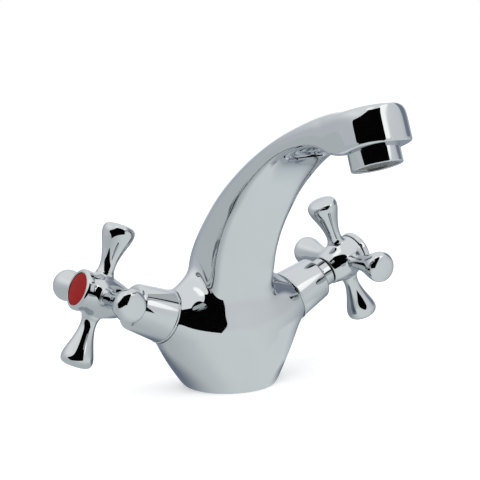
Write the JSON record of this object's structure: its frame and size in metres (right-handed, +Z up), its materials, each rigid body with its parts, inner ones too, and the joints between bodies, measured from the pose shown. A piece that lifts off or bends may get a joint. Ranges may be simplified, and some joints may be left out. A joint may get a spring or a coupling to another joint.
{
  "type": "basin mixer tap",
  "caption": "Chrome basin mixer tap with a fixed arched spout, two slanted valves with cross handles, coloured index discs and an aerator.",
  "frame": {"origin": "centre of the base's underside, at the mouth of the fixing stud's threaded hole", "axes": "+Z up, the spout points to -Y, the hot valve is at -X and the cold valve at +X"},
  "size_m": [0.1964, 0.1783, 0.155],
  "materials": {
    "chrome": "polished chrome plate",
    "brass": "machined",
    "seal_rubber": "moulded",
    "white_plastic": "moulded",
    "ceramic": "lapped",
    "steel": "stainless",
    "red_index": "glossy",
    "blue_index": "glossy"
  },
  "bodies": {
    "tap": {"tap_body": "chrome", "base_seal": "seal_rubber", "aerator_collar": "chrome", "aerator_insert": "white_plastic", "aerator_screen": "steel", "aerator_washer": "seal_rubber", "hot_shroud": "chrome", "hot_headwork_body": "brass", "hot_headwork_gasket": "seal_rubber", "hot_seat_seal": "seal_rubber", "hot_fixed_disc": "ceramic", "cold_shroud": "chrome", "cold_headwork_body": "brass", "cold_headwork_gasket": "seal_rubber", "cold_seat_seal": "seal_rubber", "cold_fixed_disc": "ceramic"},
    "hot_handle": {"hot_handle": "chrome", "hot_spline_bush": "white_plastic", "hot_handle_screw": "steel", "hot_handle_cap": "chrome", "hot_index_disc": "red_index", "hot_spindle": "brass", "hot_spindle_o_rings": "seal_rubber", "hot_spindle_washer": "white_plastic", "hot_spindle_circlip": "steel", "hot_rotating_disc": "ceramic"},
    "cold_handle": {"cold_handle": "chrome", "cold_spline_bush": "white_plastic", "cold_handle_screw": "steel", "cold_handle_cap": "chrome", "cold_index_disc": "blue_index", "cold_spindle": "brass", "cold_spindle_o_rings": "seal_rubber", "cold_spindle_washer": "white_plastic", "cold_spindle_circlip": "steel", "cold_rotating_disc": "ceramic"}
  },
  "joints": [
    {"name": "hot_handle_turn", "type": "hinge", "parent": "tap", "child": "hot_handle", "pos_m": [0, 0, 0.0247], "axis": [-0.9178, 0, 0.3971], "range_deg": [0, 90]},
    {"name": "cold_handle_turn", "type": "hinge", "parent": "tap", "child": "cold_handle", "pos_m": [0, 0, 0.0247], "axis": [0.9178, 0, 0.3971], "range_deg": [0, 90]}
  ]
}
